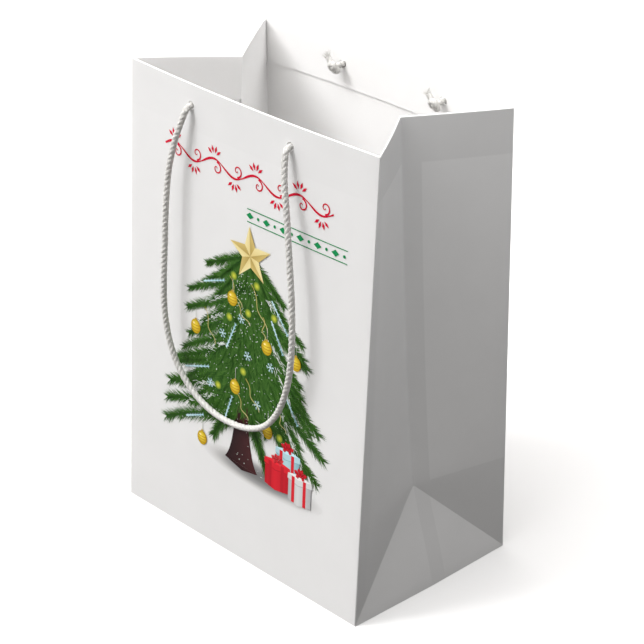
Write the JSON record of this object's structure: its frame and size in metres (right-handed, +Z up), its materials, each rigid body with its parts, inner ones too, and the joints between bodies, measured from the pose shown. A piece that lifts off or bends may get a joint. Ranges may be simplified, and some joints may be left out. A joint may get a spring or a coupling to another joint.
{
  "type": "gift bag",
  "caption": "Free-standing white paper gift bag with folding side gussets, a block bottom and twisted rope handles knotted through punched holes.",
  "frame": {"origin": "centre of the base, on the surface that the bag stands on", "axes": "+Z up out of the mouth, -Y out of the printed front face, +X towards the right-hand gusset"},
  "size_m": [0.178, 0.124, 0.2538],
  "materials": {
    "paper": "semi-matte coated white paper, printed on the front face",
    "hem_card": "thin white card inside the hem",
    "base_card": "pale uncoated card",
    "rope": "off-white twisted three-strand cotton rope"
  },
  "bodies": {
    "base": {"base_front_flap": "paper", "base_back_flap": "paper", "base_left_flap": "paper", "base_right_flap": "paper", "base_board": "base_card"},
    "front_face": {"front_panel": "paper", "front_hem": "paper", "front_hem_card": "hem_card", "front_cord_root_left": "rope", "front_cord_root_right": "rope", "front_knot_left": "rope", "front_knot_right": "rope"},
    "back_face": {"back_panel": "paper", "back_hem": "paper", "back_hem_card": "hem_card", "back_cord_root_left": "rope", "back_cord_root_right": "rope", "back_knot_left": "rope", "back_knot_right": "rope"},
    "left_gusset_front": {"left_gusset_front": "paper", "left_gusset_front_hem": "paper"},
    "left_gusset_back": {"left_gusset_back": "paper", "left_gusset_back_hem": "paper", "left_glue_lap": "paper"},
    "left_tuck": {"left_base_tuck": "paper"},
    "right_gusset_front": {"right_gusset_front": "paper", "right_gusset_front_hem": "paper"},
    "right_gusset_back": {"right_gusset_back": "paper", "right_gusset_back_hem": "paper", "right_glue_lap": "paper"},
    "right_tuck": {"right_base_tuck": "paper"},
    "front_handle": {"front_handle_cord": "rope"},
    "back_handle": {"back_handle_cord": "rope"}
  },
  "joints": [
    {"name": "front_mouth", "type": "hinge", "parent": "base", "child": "front_face", "pos_m": [0, -0.056, 0], "axis": [-1, 0, 0], "range_deg": [-1, 5.5], "stiffness_Nm_per_rad": 0.3},
    {"name": "back_mouth", "type": "hinge", "parent": "base", "child": "back_face", "pos_m": [0, 0.056, 0], "axis": [1, 0, 0], "range_deg": [-1, 5.5]},
    {"name": "left_gusset_front_fold", "type": "hinge", "parent": "front_face", "child": "left_gusset_front", "pos_m": [-0.089, -0.056, 0], "axis": [0, -0.0394, -0.9992], "range_deg": [-6.3, 34.2]},
    {"name": "left_gusset_back_fold", "type": "hinge", "parent": "back_face", "child": "left_gusset_back", "pos_m": [-0.089, 0.056, 0], "axis": [0, -0.0394, 0.9992], "range_deg": [-6.3, 34.2]},
    {"name": "left_tuck_fold", "type": "hinge", "parent": "base", "child": "left_tuck", "pos_m": [-0.089, 0, 0], "axis": [0, 1, 0], "range_deg": [-2.9, 15.3]},
    {"name": "right_gusset_front_fold", "type": "hinge", "parent": "front_face", "child": "right_gusset_front", "pos_m": [0.089, -0.056, 0], "axis": [0, 0.0394, 0.9992], "range_deg": [-6.3, 34.2]},
    {"name": "right_gusset_back_fold", "type": "hinge", "parent": "back_face", "child": "right_gusset_back", "pos_m": [0.089, 0.056, 0], "axis": [0, 0.0394, -0.9992], "range_deg": [-6.3, 34.2]},
    {"name": "right_tuck_fold", "type": "hinge", "parent": "base", "child": "right_tuck", "pos_m": [0.089, 0, 0], "axis": [0, -1, 0], "range_deg": [-2.9, 15.3]},
    {"name": "front_handle_swing", "type": "hinge", "parent": "front_face", "child": "front_handle", "pos_m": [0, -0.05123, 0.2425], "axis": [-1, 0, 0], "range_deg": [0, 165]},
    {"name": "back_handle_swing", "type": "hinge", "parent": "back_face", "child": "back_handle", "pos_m": [0, 0.05123, 0.2425], "axis": [1, 0, 0], "range_deg": [0, 165]}
  ],
  "couplings": [
    {"joint": "back_mouth", "follows": "front_mouth", "ratio": 1},
    {"joint": "left_gusset_front_fold", "follows": "front_mouth", "ratio": 6.2},
    {"joint": "left_gusset_back_fold", "follows": "front_mouth", "ratio": 6.2},
    {"joint": "left_tuck_fold", "follows": "front_mouth", "ratio": 2.77},
    {"joint": "right_gusset_front_fold", "follows": "front_mouth", "ratio": 6.2},
    {"joint": "right_gusset_back_fold", "follows": "front_mouth", "ratio": 6.2},
    {"joint": "right_tuck_fold", "follows": "front_mouth", "ratio": 2.77}
  ]
}
